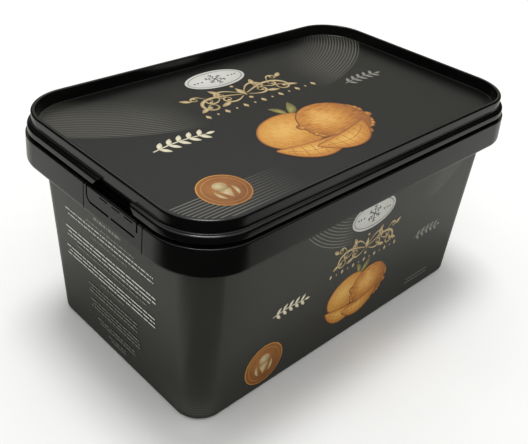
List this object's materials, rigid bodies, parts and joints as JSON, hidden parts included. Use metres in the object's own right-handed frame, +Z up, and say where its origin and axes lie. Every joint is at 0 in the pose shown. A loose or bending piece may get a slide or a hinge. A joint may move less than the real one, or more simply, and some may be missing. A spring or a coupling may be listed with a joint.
{
  "type": "ice cream tub",
  "caption": "Shut rectangular black plastic tub with tapered walls, a wide collar with tear tabs and a stepped lid with a recessed printed panel.",
  "frame": {"origin": "middle of the base, on the surface that the tub stands on", "axes": "+Z up, +X along the long sides, +Y along the short sides"},
  "size_m": [0.1682, 0.1064, 0.0859],
  "materials": {
    "tub_plastic": "satin moulded polypropylene with a moulded-in printed label",
    "lid_plastic": "glossy moulded polypropylene with a moulded-in printed label"
  },
  "bodies": {
    "root": {"tub": "tub_plastic", "lid": "lid_plastic"}
  },
  "joints": []
}
